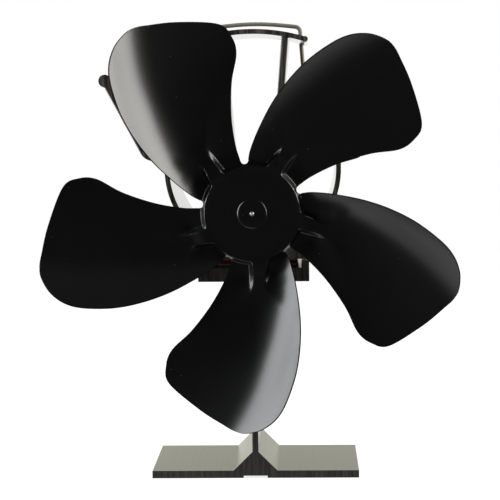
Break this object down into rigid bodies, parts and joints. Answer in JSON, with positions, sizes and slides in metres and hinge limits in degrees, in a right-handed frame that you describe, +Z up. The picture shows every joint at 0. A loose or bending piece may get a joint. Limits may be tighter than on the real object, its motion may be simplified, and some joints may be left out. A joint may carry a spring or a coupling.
{
  "type": "thermoelectric_fan",
  "caption": "Free-standing heat-powered stove fan: pressed blade rotor on a small motor, finned heat sink over a thermoelectric module, stemmed foot and a hinged wire handle.",
  "frame": {"origin": "on the floor, under the middle of the whole fan's width and depth", "axes": "+X to the right seen from the front, +Y from front to back, +Z up; the rotor's shaft runs along Y"},
  "size_m": [0.1861, 0.107, 0.2117],
  "materials": {
    "extrusion_black": "black anodised, sawn ends brushed",
    "rotor_black": "satin black on pressed aluminium",
    "handle_steel": "drawn stainless wire",
    "shaft_steel": "ground steel",
    "bush_brass": "turned",
    "ceramic": "white alumina, lapped",
    "seal_red": "dark red silicone",
    "pellet": "semiconductor pellets with metal straps",
    "thermal_sheet": "graphite sheet",
    "screw_steel": "zinc-plated steel",
    "grub_steel": "black oxide steel",
    "washer_fibre": "heat-proof moulding",
    "bimetal": "rolled bimetal strip",
    "lead_black": "silicone insulation",
    "lead_red": "silicone insulation",
    "motor_steel": "drawn, zinc-plated",
    "ferrite": "sintered ferrite",
    "core_steel": "stamped laminations",
    "copper": "enamelled copper",
    "terminal_brass": "stamped",
    "end_cap_plastic": "moulded",
    "bearing_bronze": "sintered bronze"
  },
  "bodies": {
    "stand": {"base_extrusion": "extrusion_black", "bearing_front": "bearing_bronze", "bearing_rear": "bearing_bronze", "bimetal_rivet": "screw_steel", "bimetal_strip": "bimetal", "clamp_screw_1": "screw_steel", "clamp_screw_2": "screw_steel", "clamp_screw_3": "screw_steel", "clamp_screw_4": "screw_steel", "heat_sink_extrusion": "extrusion_black", "insulating_washer_1": "washer_fibre", "insulating_washer_2": "washer_fibre", "insulating_washer_3": "washer_fibre", "insulating_washer_4": "washer_fibre", "lead_black": "lead_black", "lead_red": "lead_red", "lower_thermal_sheet": "thermal_sheet", "module_cold_ceramic": "ceramic", "module_hot_ceramic": "ceramic", "module_pellets": "pellet", "module_seal": "seal_red", "motor_brush_1": "copper", "motor_brush_2": "copper", "motor_can": "motor_steel", "motor_end_cap": "end_cap_plastic", "motor_grub_screw": "grub_steel", "motor_magnet_1": "ferrite", "motor_magnet_2": "ferrite", "motor_terminal_1": "terminal_brass", "motor_terminal_2": "terminal_brass", "upper_thermal_sheet": "thermal_sheet"},
    "rotor": {"motor_shaft": "shaft_steel", "motor_armature": "core_steel", "motor_winding_1": "copper", "motor_winding_2": "copper", "motor_winding_3": "copper", "motor_commutator": "copper", "hub_bush": "bush_brass", "fan_rotor": "rotor_black"},
    "handle": {"handle_wire": "handle_steel"}
  },
  "joints": [
    {"name": "rotor_spin", "type": "hinge", "parent": "stand", "child": "rotor", "pos_m": [0, 0.01709, 0.1233], "axis": [0, 1, 0], "continuous": true},
    {"name": "handle_swing", "type": "hinge", "parent": "stand", "child": "handle", "pos_m": [0, 0.04309, 0.1444], "axis": [-1, 0, 0], "range_deg": [0, 158]}
  ]
}
